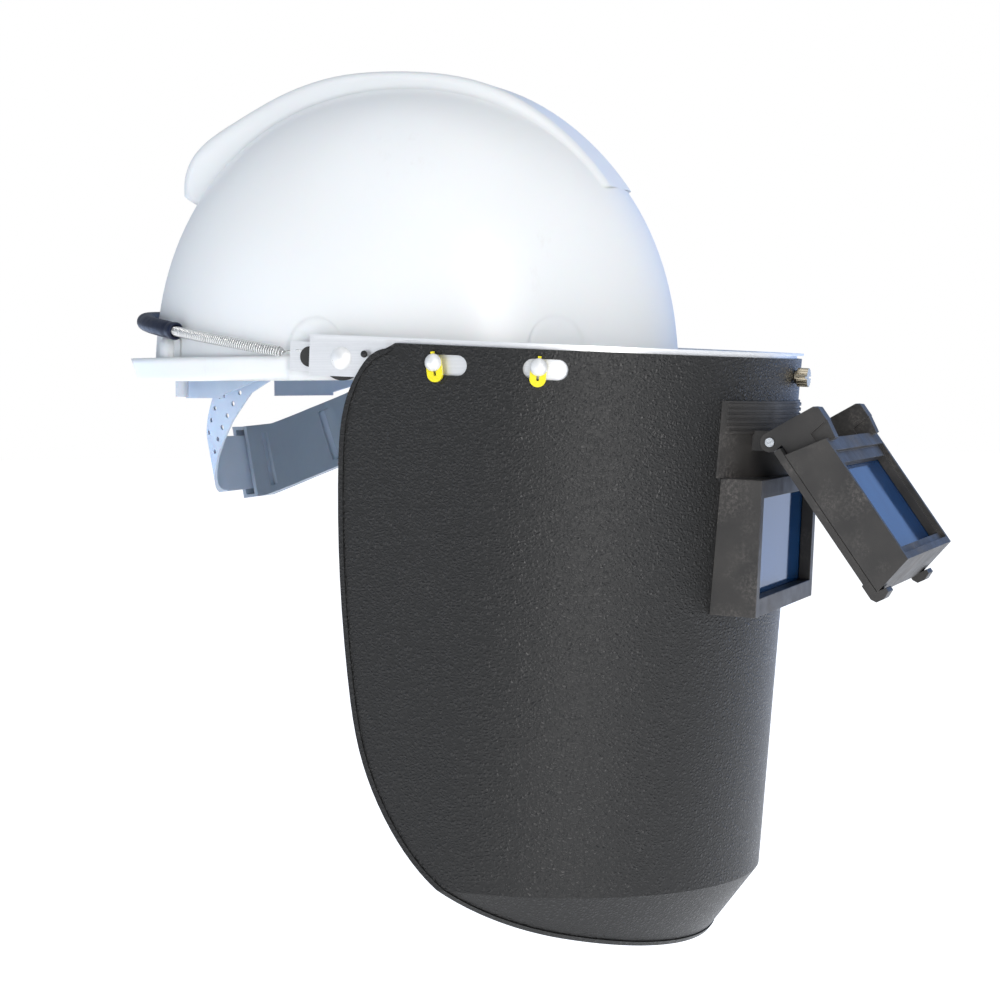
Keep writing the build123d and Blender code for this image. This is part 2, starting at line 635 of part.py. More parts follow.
def tension_spring():
    """Close-wound spring as one closed body, with a wire hook at each end."""
    path = spring_path(SPRING_START)
    body = tube_along(path, SPRING_RADIUS)
    for sign in SIDES.values():
        out = wall_plane(sign, -ANCHOR_BACK, 0, PLATE_OUTER + SPRING_WIRE / 2).location
        ring = Torus(ANCHOR_RADIUS / 2 + SPRING_WIRE / 2 + RUNNING_GAP, SPRING_WIRE / 2 - RUNNING_GAP)
        body += in_carrier(out * ring)
        reach = SPRING_START + 2.0 + PIVOT_FORWARD - ANCHOR_BACK - ANCHOR_RADIUS / 2
        leg = Pos(sign * (ANCHOR_RADIUS / 2 + reach / 2), 0, 0) * Rot(0, 90, 0)
        body += in_carrier(out * leg * Cylinder(SPRING_WIRE / 2 - RUNNING_GAP, reach))
    return body


def spring_sleeve():
    """Rubber tube over the spring where it bears on the back of the shell."""
    return tube_along(spring_path(TUBE_START), TUBE_RADIUS, TUBE_BORE)


# --- Shield pieces -----------------------------------------------------------------------------
@cache
def shield_core(offset):
    """Solid inside the shield's outer face, grown by an offset."""
    lean = tan(radians(VISOR_TAPER))
    front = NOSE_CENTRE + VISOR_HALF_WIDTH + offset
    half = VISOR_HALF_WIDTH + offset
    top = VISOR_TOP + 5
    crease_front = front + lean * CREASE_HEIGHT
    narrow = 2.0
    rear = -40.0
    levels = [
        (half, front + lean * top, top),
        (half - narrow, crease_front, CREASE_HEIGHT),
        (half - narrow - CHIN_SETBACK, crease_front - CHIN_SETBACK, CREASE_HEIGHT - CHIN_DEPTH),
    ]
    faces = [Pos(0, 0, height) * u_face(width, nose, rear) for width, nose, height in levels]
    return loft(faces[:2], ruled=True) + loft(faces[1:], ruled=True)


def shield_outline(inset):
    """Side outline of the shield as a face in the plane X = 0."""
    rear_line = [(21.6, VISOR_TOP - 2.5), (15.0, 2.0), (9.0, -6.0), (4.0, -18.0), (1.8, -32.0), (1.6, -50.0)]
    low_line = [(4.5, -100.0), (9.5, -140.0), (16.0, -171.0), (31.0, -203.0), (52.0, -227.0), (74.0, -240.0)]
    curve = Spline(*[(0, -forward, height) for forward, height in rear_line + low_line + [(104.0, -250.0)]])
    if inset:
        steps = 24
        points = []
        for step in range(steps + 1):
            heading = curve % (step / steps)
            points.append(curve @ (step / steps) + Vector(0, -heading.Z, heading.Y) * -inset)
        curve = Spline(*points)
    floor = CREASE_HEIGHT - CHIN_DEPTH + 1.5 + inset
    edge = Polyline(
        curve @ 1,
        (0, -150.0, floor),
        (0, -190.0, floor),
        (0, -190.0, VISOR_TOP - inset),
        (0, -26.0, VISOR_TOP - inset),
        curve @ 0,
    )
    return make_face(curve + edge)


def outline_prism(inset):
    return Pos(-130, 0, 0) * extrude(shield_outline(inset), amount=260, dir=(1, 0, 0))


def window_plug(half_width, top, bottom, front=190.0, rear=140.0):
    return block((-half_width, half_width), (rear, front), (bottom, top))


BOX_BOTTOM = BOX_TOP - BOX_HEIGHT
BOX_MIDDLE = (BOX_TOP + BOX_BOTTOM) / 2
NECK_HALF_WIDTH = GLASS_WIDTH / 2 + GLASS_GAP + NECK_WALL
NECK_HALF_HEIGHT = GLASS_HEIGHT / 2 + GLASS_GAP + NECK_WALL
CUT_HALF_WIDTH = NECK_HALF_WIDTH + 0.3
CUT_BOTTOM = BOX_MIDDLE - NECK_HALF_HEIGHT - 0.3
CUT_TOP = PANEL_TOP - 3.0


def visor_shell():
    """Moulded shield with a thick edge bead, four slots and one window cut-out."""
    inner = shield_core(-VISOR_WALL)
    wall = (shield_core(0) - inner) & outline_prism(0)
    bead = (shield_core(BEAD_RISE) - inner) & (outline_prism(0) - outline_prism(BEAD_WIDTH))
    bead -= block((-130, 130), (0, 200), (VISOR_TOP - BEAD_WIDTH - 0.5, VISOR_TOP + 9))
    body = wall + bead
    for sign in SIDES.values():
        for spot, forward in STUD_SPOTS.items():
            middle = forward + SLOT_SHIFTS[spot]
            slot = extrude(SlotOverall(SLOT_LENGTH, SLOT_HEIGHT), 8, both=True)
            body -= wall_plane(sign, middle, -SLOT_DROP, VISOR_HALF_WIDTH).location * slot
    body -= window_plug(CUT_HALF_WIDTH, CUT_TOP, CUT_BOTTOM)
    front = Pos(0, -NOSE_CENTRE - VISOR_HALF_WIDTH, SCREW_HEIGHT)
    body -= front * Rot(90, 0, 0) * Cylinder(SCREW_SHANK + 0.3, 12)
    return in_carrier(body)


def lens_box():
    """Fixed lens holder: a box outside the shield and a neck through its cut-out."""
    skin = shield_core(0.05)
    box = block((-BOX_HALF_WIDTH, BOX_HALF_WIDTH), (140, BOX_FRONT), (BOX_BOTTOM, BOX_TOP)) - skin
    neck_top, neck_bottom = BOX_MIDDLE + NECK_HALF_HEIGHT, BOX_MIDDLE - NECK_HALF_HEIGHT
    neck = window_plug(NECK_HALF_WIDTH, neck_top, neck_bottom, BOX_FRONT - 1, BOX_NECK_REAR)
    body = box + neck
    width, half = GLASS_WIDTH / 2 + GLASS_GAP, GLASS_HEIGHT / 2 + GLASS_GAP
    body -= window_plug(width, BOX_MIDDLE + half, BOX_MIDDLE - half, BOX_FRONT - LENS_DEPTH, 130)
    body -= window_plug(WINDOW_WIDTH / 2, BOX_MIDDLE + WINDOW_HEIGHT / 2, BOX_MIDDLE - WINDOW_HEIGHT / 2)
    return in_carrier(body)


def glass_plate(thickness, front, middle):
    """Rectangular plate with its front face at a forward position."""
    half = GLASS_HEIGHT / 2
    return window_plug(GLASS_WIDTH / 2, middle + half, middle - half, front, front - thickness)


def glass_frame(front, rear, middle):
    """Spring frame that holds a plate in its pocket."""
    half = GLASS_HEIGHT / 2
    frame = block((-GLASS_WIDTH / 2, GLASS_WIDTH / 2), (rear, front), (middle - half, middle + half))
    top, bottom = middle + WINDOW_HEIGHT / 2, middle - WINDOW_HEIGHT / 2
    return frame - window_plug(WINDOW_WIDTH / 2, top, bottom, front + 1, rear - 1)


COVER_FRONT = BOX_FRONT - LENS_DEPTH - 0.1


def hinge_panel():
    """Ribbed panel above the lens box, with the two fixed hinge blocks."""
    low = BOX_TOP + 0.1
    plate = window_plug(PANEL_HALF_WIDTH, PANEL_TOP, low)
    body = (shield_core(PANEL_PROUD) - shield_core(0.05)) & plate
    backing = window_plug(CUT_HALF_WIDTH - 0.3, CUT_TOP - 0.3, low)
    body += (shield_core(0.1) - shield_core(-VISOR_WALL)) & backing
    ribbed = shield_core(PANEL_PROUD + RIB_RISE) - shield_core(PANEL_PROUD - 0.2)
    for step in range(RIB_COUNT):
        height = PANEL_TOP - 1.2 - step * RIB_PITCH
        body += ribbed & window_plug(PANEL_HALF_WIDTH - 2, height, height - RIB_PITCH / 2)
    for sign in SIDES.values():
        inner = LUG_INNER - HINGE_SIDE_GAP - HINGE_BLOCK_WIDTH
        reach = sorted((sign * inner, sign * (inner + HINGE_BLOCK_WIDTH)))
        knuckle = block(reach, (150, PIN_FORWARD), (PIN_HEIGHT - KNUCKLE_RADIUS, PIN_HEIGHT + KNUCKLE_RADIUS))
        knuckle += rod_across(KNUCKLE_RADIUS, *reach, PIN_FORWARD, PIN_HEIGHT)
        body += knuckle - shield_core(0.1)
    body -= rod_across(PIN_RADIUS, -60, 60, PIN_FORWARD, PIN_HEIGHT)
    return in_carrier(body)


def hinge_pin():
    pin = rod_across(PIN_RADIUS, -PIN_HALF_LENGTH, PIN_HALF_LENGTH, PIN_FORWARD, PIN_HEIGHT)
    return in_carrier(pin)


# --- Flip-up window ----------------------------------------------------------------------------
def flip_lug(low, high):
    """Hinge lug with a knuckle round the pin and a notched side."""
    foot = FLIP_BACK + 0.3
    outline = [
        (0, KNUCKLE_RADIUS),
        (13, 3.2),
        (24.5, 2.0),
        (26.2, 0.5),
        (26.2, -6.0),
        (24.8, -14.5),
        (foot, -14.5),
        (foot, -4.0),
        (0, -KNUCKLE_RADIUS),
    ]
    lug = side_prism(outline, low, high) + rod_across(KNUCKLE_RADIUS, low, high)
    notch = [(17, -7.2), (27.5, -6.0), (27.5, -16), (16.6, -16)]
    lug -= side_prism(notch, low - 1, low + LUG_NOTCH)
    lug -= side_prism(notch, high - LUG_NOTCH, high + 1)
    return lug


def flip_housing():
    """Tapered box of the flip-up holder with its two hinge lugs."""
    outline = [
        (FLIP_BACK, FLIP_TOP_BACK),
        (FLIP_FRONT, FLIP_TOP_FRONT),
        (FLIP_FRONT, FLIP_BOTTOM_FRONT),
        (FLIP_BACK, FLIP_BOTTOM_BACK),
    ]
    body = side_prism(outline, -BOX_HALF_WIDTH, BOX_HALF_WIDTH)
    for sign in SIDES.values():
        body += flip_lug(*sorted((sign * LUG_INNER, sign * (LUG_INNER + LUG_WIDTH))))
    middle = FLIP_WINDOW_CENTRE
    width, half = GLASS_WIDTH / 2 + GLASS_GAP, GLASS_HEIGHT / 2 + GLASS_GAP
    face_back = FLIP_FRONT - FLIP_STEP - FLIP_FACE_WALL
    body -= window_plug(width, middle + half, middle - half, face_back, -1)
    body -= window_plug(WINDOW_WIDTH / 2, middle + WINDOW_HEIGHT / 2, middle - WINDOW_HEIGHT / 2, 30, -1)
    recess = (FLIP_TOP_FRONT - 6.4, FLIP_BOTTOM_FRONT + 3.2)
    body -= window_plug(WINDOW_WIDTH / 2 + 2.6, *recess, 30, FLIP_FRONT - FLIP_STEP)
    body -= rod_across(PIN_RADIUS + RUNNING_GAP, -70, 70)
    return in_flip(body)


def flip_back_plate():
    """Retaining plate behind the housing, with latch feet at its lower edge."""
    middle = FLIP_WINDOW_CENTRE
    top = -KNUCKLE_RADIUS - 0.8
    plate = block((-BOX_HALF_WIDTH, BOX_HALF_WIDTH), (0, BACK_PLATE), (FLIP_BOTTOM_BACK, top))
    plate -= window_plug(WINDOW_WIDTH / 2, middle + WINDOW_HEIGHT / 2, middle - WINDOW_HEIGHT / 2, 9, -1)
    foot = [(-0.8, -74), (0, -74), (0, -79), (7.5, -80.4), (7.5, -82.5), (4, -84), (0.5, -83.4), (-0.8, -81)]
    for sign in SIDES.values():
        plate += side_prism(foot, *sorted((sign * BOX_HALF_WIDTH, sign * (BOX_HALF_WIDTH - FOOT_WIDTH))))
    return in_flip(plate)


FILTER_FRONT = FLIP_FRONT - FLIP_STEP - FLIP_FACE_WALL - 0.1


def build_nodes():
    """Return every node as a dictionary of name to shape."""
    nodes = {"shell": shell(), "crown_web": crown_web(), "headband": headband(), "brow_pad": brow_pad()}
    for name, sign in SIDES.items():
        for spot in SOCKET_SPOTS:
            nodes[f"suspension_key_{spot}_{name}"] = suspension_key(sign, spot)
        nodes[f"nape_strap_{name}"] = nape_strap(name)
        nodes[f"pivot_rivet_{name}"] = rivet(sign)
        nodes[f"friction_washer_{name}"] = friction_washer(sign)
        nodes[f"spring_anchor_{name}"] = spring_anchor(sign)
        for spot in STUD_SPOTS:
            nodes[f"shield_stud_{spot}_{name}"] = stud(sign, spot)
            nodes[f"shield_clip_{spot}_{name}"] = clip(sign, name, spot)
    nodes["nape_sleeve"] = nape_sleeve()
    nodes["inner_band"] = inner_band()
    nodes["outer_band"] = outer_band()
    nodes["tension_spring"] = tension_spring()
    nodes["spring_sleeve"] = spring_sleeve()
    nodes["visor_shell"] = visor_shell()
    nodes["front_screw"] = front_screw()
    nodes["front_nut"] = front_nut()
    nodes["lens_box"] = lens_box()
    nodes["hinge_panel"] = hinge_panel()
    nodes["hinge_pin"] = hinge_pin()
    nodes["cover_lens"] = in_carrier(glass_plate(COVER_THICKNESS, COVER_FRONT, BOX_MIDDLE))
    frame_front = COVER_FRONT - COVER_THICKNESS - 0.1
    nodes["lens_retainer"] = in_carrier(glass_frame(frame_front, frame_front - 3.0, BOX_MIDDLE))
    nodes["flip_housing"] = flip_housing()
    nodes["flip_back_plate"] = flip_back_plate()
    nodes["filter_plate"] = in_flip(glass_plate(FILTER_THICKNESS, FILTER_FRONT, FLIP_WINDOW_CENTRE))
    spacer_front = FILTER_FRONT - FILTER_THICKNESS - 0.1
    nodes["filter_spacer"] = in_flip(glass_frame(spacer_front, spacer_front - 4.0, FLIP_WINDOW_CENTRE))
    guard_front = spacer_front - 4.1
    nodes["inner_cover_lens"] = in_flip(glass_plate(COVER_THICKNESS, guard_front, FLIP_WINDOW_CENTRE))
    return nodes


os.makedirs("parts", exist_ok=True)
for node, shape in build_nodes().items():
    export_step(shape, f"parts/{node}.step")
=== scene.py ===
"""Looks of the hard hat with its lift-up face shield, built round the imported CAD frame.

The wearer faces -Y, the wearer's left is +X and +Z is up. All sizes are in metres.
"""

import json
from math import asin, cos, pi, radians, sin, tan

import bmesh
import bpy
from mathutils import Matrix, Vector, noise

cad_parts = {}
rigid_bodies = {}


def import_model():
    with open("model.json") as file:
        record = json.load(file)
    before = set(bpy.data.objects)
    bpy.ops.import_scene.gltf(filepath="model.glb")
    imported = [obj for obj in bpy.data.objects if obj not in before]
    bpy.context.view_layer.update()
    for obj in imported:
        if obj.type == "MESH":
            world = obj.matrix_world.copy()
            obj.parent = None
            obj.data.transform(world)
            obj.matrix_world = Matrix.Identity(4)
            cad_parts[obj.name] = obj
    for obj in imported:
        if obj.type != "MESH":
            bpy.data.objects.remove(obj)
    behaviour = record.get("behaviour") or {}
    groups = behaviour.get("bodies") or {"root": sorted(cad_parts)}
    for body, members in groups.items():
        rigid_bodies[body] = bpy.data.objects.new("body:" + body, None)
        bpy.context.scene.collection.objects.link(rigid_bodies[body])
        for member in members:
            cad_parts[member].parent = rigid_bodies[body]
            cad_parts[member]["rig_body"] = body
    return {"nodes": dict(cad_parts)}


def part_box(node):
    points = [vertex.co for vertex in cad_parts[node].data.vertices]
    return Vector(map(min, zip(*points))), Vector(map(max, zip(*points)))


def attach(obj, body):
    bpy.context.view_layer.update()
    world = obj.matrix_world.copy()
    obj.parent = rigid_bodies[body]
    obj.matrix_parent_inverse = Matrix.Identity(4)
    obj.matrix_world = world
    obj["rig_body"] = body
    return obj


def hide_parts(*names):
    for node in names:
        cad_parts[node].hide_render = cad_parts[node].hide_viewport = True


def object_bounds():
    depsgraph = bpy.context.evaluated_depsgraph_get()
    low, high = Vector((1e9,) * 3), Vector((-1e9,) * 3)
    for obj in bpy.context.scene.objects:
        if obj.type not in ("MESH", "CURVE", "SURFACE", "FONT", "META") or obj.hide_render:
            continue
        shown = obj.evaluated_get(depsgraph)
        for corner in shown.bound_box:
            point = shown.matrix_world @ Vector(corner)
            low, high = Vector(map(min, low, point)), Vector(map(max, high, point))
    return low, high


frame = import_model()
CAD_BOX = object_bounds()
NODES = frame["nodes"]
SIDES = {"right": -1, "left": 1}

# Camera, at the viewpoint of the reference view.
CAMERA_PLACE = Vector((-1.1190, -0.4321, 0.0019))
CAMERA_RIGHT = Vector((0.32826, -0.94456, -0.00770))
CAMERA_UP = Vector((0.04981, 0.00917, 0.99872))
CAMERA_LENS = 90.0

# Stage.
FLOOR_HEIGHT = CAD_BOX[0].z - 0.07
FLOOR_RADIUS = 9.0

# Frame sizes that the detailed pieces follow.
DOME_HALF_LENGTH = 0.1275
DOME_HALF_WIDTH = 0.1035
PIVOT = Vector((0, -0.008, 0.0097))
CARRIER_TURN = Matrix.Rotation(radians(3.0), 4, "X")
SPRING_RADIUS = 0.0024
SPRING_WIRE = 0.0009
SPRING_SLOPE = radians(9.0)
SPRING_START = 0.021
SPRING_ANCHOR_HEIGHT = 0.0126
SLEEVE_START = 0.086
SLEEVE_RADIUS = 0.0040
SLEEVE_BORE = 0.0027
PLATE_OUTER = 0.1071
ANCHOR_BACK = 0.0156
ANCHOR_NECK = 0.00225

# Sizes of the pieces that only these looks have.
COIL_PITCH = 0.00128
COIL_SIDES = 13
WIRE_SIDES = 6
HOOK_STEPS = 22
HOOK_GAP = 0.00005
SLEEVE_SIDES = 24
SLEEVE_STEP = 0.0012
SLEEVE_RING = 3
CUSHION_THICKNESS = 0.0026
CUSHION_EDGE = 0.0008
CUSHION_SWELL = 0.0016
CUSHION_COLUMNS = 96
CUSHION_ROWS = 12
BOSS_SIDE = 0.068
BOSS_BACK = 0.096
BOSS_HALF_WIDTH = 0.0066
BOSS_DEPTH = 0.0052
BOSS_SINK = 0.0012
BOSS_SIDES = 20
BOSS_LEVELS = [(0.0030, 1.0), (0.0120, 1.0), (0.0165, 0.96), (0.0195, 0.80), (0.0212, 0.50), (0.0217, 0.0)]
NUB_PLACE = Vector((-0.1123, -0.0118, 0.0022))
NUB_RADIUS = 0.0016
NUB_RINGS = 6
NUB_SIDES = 16

# Rounded edges of the moulded pieces: node, width and slot.
MOULDED = [
    ("flip_housing", 0.0005, "holder"),
    ("lens_box", 0.0005, "holder"),
    ("flip_back_plate", 0.0004, "holder"),
    ("nape_sleeve", 0.0003, "suspension"),
]

# Area lights: name, place, aim, size, power and colour.
AIM = (0.0, -0.05, -0.02)
LIGHTS = [
    ("key", (-1.55, -1.25, 0.3), AIM, (0.42, 2.0), 23, (1.0, 0.98, 0.96)),
    ("top", (-0.5, 0.1, 2.3), AIM, (2.4, 2.4), 17, (1, 1, 1)),
    ("rear_fill", (-1.2, 2.0, 0.6), AIM, (1.2, 1.2), 5, (0.66, 0.80, 1.0)),
    ("blue_far", (2.0, -0.6, 0.4), AIM, (2.2, 1.8), 8, (0.06, 0.33, 1.0)),
    ("blue_low", (0.3, 0.9, -0.27), (0, 0.02, 0.0), (0.8, 0.5), 1.2, (0.10, 0.40, 1.0)),
]


# --- Node trees --------------------------------------------------------------------------------
class Finish:
    """One procedural material, with short calls for the nodes it uses."""

    def __init__(self, name, colour, roughness, metallic=0.0, **sockets):
        self.material = bpy.data.materials.new(name)
        self.material.use_nodes = True
        self.tree = self.material.node_tree
        self.shader = self.tree.nodes["Principled BSDF"]
        self.shader.inputs["Base Color"].default_value = (*colour, 1)
        self.shader.inputs["Roughness"].default_value = roughness
        self.shader.inputs["Metallic"].default_value = metallic
        for socket, value in sockets.items():
            self.shader.inputs[socket.replace("_", " ")].default_value = value
        self.where = self.tree.nodes.new("ShaderNodeTexCoord").outputs["Object"]

    def node(self, kind, inputs=None, **settings):
        made = self.tree.nodes.new(kind)
        for name, value in settings.items():
            setattr(made, name, value)
        for key, value in (inputs or {}).items():
            if isinstance(value, bpy.types.NodeSocket):
                self.tree.links.new(value, made.inputs[key])
            else:
                made.inputs[key].default_value = value
        return made

    def place(self, stretch=(1, 1, 1), turn=(0, 0, 0)):
        inputs = {"Vector": self.where, "Scale": stretch, "Rotation": turn}
        return self.node("ShaderNodeMapping", inputs).outputs["Vector"]

    def noise(self, scale, detail=2.0, roughness=0.5, distortion=0.0, place=None):
        inputs = {"Vector": place or self.where, "Scale": scale, "Detail": detail}
        inputs.update({"Roughness": roughness, "Distortion": distortion})
        return self.node("ShaderNodeTexNoise", inputs).outputs["Fac"]

    def cells(self, scale, feature="F1", place=None):
        inputs = {"Vector": place or self.where, "Scale": scale}
        return self.node("ShaderNodeTexVoronoi", inputs, feature=feature).outputs["Distance"]

    def span(self, value, low, high, to_low=0.0, to_high=1.0):
        inputs = {"Value": value, "From Min": low, "From Max": high, "To Min": to_low, "To Max": to_high}
        return self.node("ShaderNodeMapRange", inputs).outputs["Result"]

    def math(self, operation, first, second=0.0):
        return self.node("ShaderNodeMath", {0: first, 1: second}, operation=operation).outputs[0]

    def mix(self, factor, first, second):
        made = self.node("ShaderNodeMix", data_type="RGBA")
        for key, value in ((0, factor), (6, first), (7, second)):
            if isinstance(value, bpy.types.NodeSocket):
                self.tree.links.new(value, made.inputs[key])
            elif key == 0:
                made.inputs[key].default_value = value
            else:
                made.inputs[key].default_value = (*value, 1)
        return made.outputs[2]

    def bump(self, height, distance, strength=1.0, under=None):
        inputs = {"Height": height, "Distance": distance, "Strength": strength}
        if under:
            inputs["Normal"] = under
        return self.node("ShaderNodeBump", inputs).outputs["Normal"]

    def put(self, socket, value):
        self.tree.links.new(value, self.shader.inputs[socket])


# --- Materials ---------------------------------------------------------------------------------
def shell_finish():
    """Glossy off-white polyethylene with faint brown scuffs and fine scratches."""
    f = Finish("shell_plastic", (0.80, 0.81, 0.80), 0.32, Coat_Weight=0.12, Coat_Roughness=0.16)
    f.shader.inputs["Subsurface Weight"].default_value = 0.08
    f.shader.inputs["Subsurface Scale"].default_value = 0.004
    broad = f.span(f.noise(7.0, 3.0), 0.35, 0.65)
    tint = f.mix(broad, (0.80, 0.81, 0.805), (0.785, 0.80, 0.805))
    smudge_area = f.span(f.noise(11.0, 2.0), 0.52, 0.66)
    smudge_grain = f.span(f.noise(170.0, 6.0, 0.7, place=f.place((1, 1, 0.35))), 0.56, 0.72)
    smudge = f.math("MULTIPLY", f.math("MULTIPLY", smudge_area, smudge_grain), 0.16)
    tint = f.mix(smudge, tint, (0.52, 0.42, 0.36))
    scratch = f.noise(45.0, 8.0, 0.75, 1.2, place=f.place((1.0, 0.14, 3.2), (0.5, 0.2, 0.3)))
    scratch = f.span(f.math("ABSOLUTE", f.math("SUBTRACT", scratch, 0.5)), 0.0, 0.003, 1.0, 0.0)
    faint = f.math("MULTIPLY", scratch, f.span(f.noise(16.0, 2.0), 0.52, 0.66, 0.0, 0.14))
    f.put("Base Color", f.mix(faint, tint, (0.60, 0.56, 0.53)))
    f.put("Roughness", f.span(f.noise(28.0, 5.0, 0.6), 0.3, 0.7, 0.30, 0.38))
    rounded = f.node("ShaderNodeBevel", {"Radius": 0.004}, samples=6).outputs["Normal"]
    peel = f.bump(f.noise(330.0, 2.0), 0.00010, 0.15, rounded)
    f.put("Normal", f.bump(faint, 0.00004, 0.3, peel))
    return f.material


def polythene_finish(name, light, dark, roughness=0.42):
    """Milky moulded polythene, with flow marks and a slightly uneven sheen."""
    f = Finish(name, light, roughness, IOR=1.5)
    f.shader.inputs["Subsurface Weight"].default_value = 0.15
    f.shader.inputs["Subsurface Scale"].default_value = 0.003
    flow = f.noise(22.0, 5.0, 0.6, 1.4, place=f.place((1, 1, 0.4)))
    f.put("Base Color", f.mix(f.span(flow, 0.35, 0.7), light, dark))
    f.put("Roughness", f.span(f.noise(120.0, 4.0), 0.3, 0.7, roughness - 0.08, roughness + 0.12))
    f.put("Normal", f.bump(f.noise(900.0, 3.0), 0.00006, 0.5))
    return f.material


def aluminium_finish():
    """Strip aluminium brushed along its length, with handling marks."""
    f = Finish("brushed_aluminium", (0.90, 0.905, 0.91), 0.34, 0.82)
    lines = f.noise(1.0, 5.0, 0.62, place=f.place((14.0, 14.0, 2600.0)))
    worn = f.span(f.noise(60.0, 5.0, 0.65), 0.55, 0.75)
    tone = f.mix(f.span(lines, 0.3, 0.7), (0.93, 0.93, 0.935), (0.82, 0.825, 0.83))
    f.put("Base Color", f.mix(f.math("MULTIPLY", worn, 0.35), tone, (0.66, 0.63, 0.60)))
    f.put("Roughness", f.span(lines, 0.25, 0.75, 0.27, 0.45))
    f.put("Normal", f.bump(lines, 0.00006, 0.6))
    return f.material


def metal_finish(name, colour, roughness, pits=0.35, metallic=1.0):
    """Plated or satin metal with pin-point pits and a soft, uneven polish."""
    f = Finish(name, colour, roughness, metallic)
    cloud = f.noise(160.0, 4.0, 0.6)
    dark = tuple(channel * 0.72 for channel in colour)
    spot = f.span(f.cells(420.0), 0.06, 0.14, 1.0, 0.0)
    spot = f.math("MULTIPLY", spot, f.span(f.noise(90.0), 0.5, 0.62, 0.0, pits))
    clouded = f.mix(f.span(cloud, 0.35, 0.7, 0.0, 0.45), colour, dark)
    f.put("Base Color", f.mix(spot, clouded, (0.22, 0.16, 0.13)))
    f.put("Roughness", f.span(cloud, 0.3, 0.7, roughness * 0.8, roughness * 1.3))
    f.put("Normal", f.bump(f.noise(700.0, 3.0), 0.00005, 0.4))
    return f.material


def rubber_finish():
    f = Finish("navy_rubber", (0.003, 0.007, 0.022), 0.42, Specular_IOR_Level=0.30)
    dusty = f.span(f.noise(85.0, 5.0, 0.65), 0.5, 0.75)
    f.put("Base Color", f.mix(dusty, (0.0025, 0.006, 0.022), (0.006, 0.012, 0.036)))
    f.put("Roughness", f.span(f.noise(240.0, 3.0), 0.3, 0.7, 0.36, 0.52))
    f.put("Normal", f.bump(f.noise(520.0, 3.0), 0.00008, 0.5))
    return f.material


def shield_finish():
    """Black vulcanised sheet with a pebbled leather grain."""
    f = Finish("grained_shield", (0.011, 0.0107, 0.0103), 0.40, Specular_IOR_Level=0.42)
    pebble = f.cells(470.0, "DISTANCE_TO_EDGE", f.place((1.0, 1.0, 1.25)))
    uneven = f.noise(620.0, 2.0, 0.5, 0.9)
    grain = f.math("MULTIPLY", f.span(pebble, 0.0, 0.30), f.span(uneven, 0.34, 0.60))
    fine = f.noise(1500.0, 2.0)
    # Grooves of the grain coloured darker and tops lighter: painted shade and light on the pebble relief.
    grey = f.mix(grain, (0.0065, 0.0063, 0.0060), (0.0135, 0.0130, 0.0125))
    dust = f.span(f.noise(24.0, 6.0, 0.7), 0.56, 0.76, 0.0, 0.04)
    f.put("Base Color", f.mix(dust, grey, (0.09, 0.085, 0.078)))
    f.put("Roughness", f.span(grain, 0.0, 1.0, 0.44, 0.26))
    f.put("Normal", f.bump(grain, 0.00030, 0.75, f.bump(fine, 0.00003, 0.3)))
    return f.material


def holder_finish():
    """Grey-black moulded nylon, rubbed pale in patches."""
    f = Finish("holder_nylon", (0.034, 0.031, 0.030), 0.55, Specular_IOR_Level=0.40)
    patch = f.span(f.noise(24.0, 3.0, 0.6), 0.48, 0.70)
    grit = f.span(f.noise(620.0, 8.0, 0.78, 0.4), 0.46, 0.66)
    rub = f.math("MULTIPLY", f.math("MULTIPLY", patch, grit), 0.85)
    base = f.mix(f.span(f.noise(55.0, 4.0), 0.3, 0.7), (0.026, 0.0245, 0.0235), (0.043, 0.040, 0.037))
    f.put("Base Color", f.mix(rub, base, (0.21, 0.19, 0.175)))
    sheen = f.span(f.noise(110.0, 4.0), 0.3, 0.7, 0.42, 0.56)
    f.put("Roughness", f.math("ADD", sheen, f.math("MULTIPLY", rub, 0.35)))
    f.put("Normal", f.bump(grit, 0.00005, 0.35, f.bump(f.noise(1100.0, 2.0), 0.00005, 0.5)))
    return f.material


def glass_finish(name, colour, deep, through):
    """Welding glass, its deep blue base colour a painted reflection of blue surroundings, with faint wipe
    marks in its gloss.
    """
    f = Finish(name, colour, 0.06, Specular_IOR_Level=0.09, Transmission_Weight=through)
    wipe = f.noise(34.0, 4.0, 0.6, 1.6, place=f.place((1.0, 1.0, 0.35)))
    f.put("Base Color", f.mix(f.span(wipe, 0.3, 0.7), colour, deep))
    f.put("Roughness", f.span(wipe, 0.35, 0.7, 0.035, 0.11))
    f.put("Normal", f.bump(f.noise(30.0, 1.0), 0.00004, 0.2))
    return f.material


def clip_finish():
    f = Finish("yellow_clip", (0.82, 0.70, 0.01), 0.26, Coat_Weight=0.35, Coat_Roughness=0.1)
    grime = f.span(f.noise(380.0, 5.0, 0.65), 0.55, 0.75, 0.0, 0.35)
    f.put("Base Color", f.mix(grime, (0.83, 0.71, 0.012), (0.55, 0.43, 0.02)))
    f.put("Roughness", f.span(f.noise(500.0, 2.0), 0.3, 0.7, 0.2, 0.36))
    f.put("Normal", f.bump(f.noise(800.0, 2.0), 0.00005, 0.4))
    return f.material


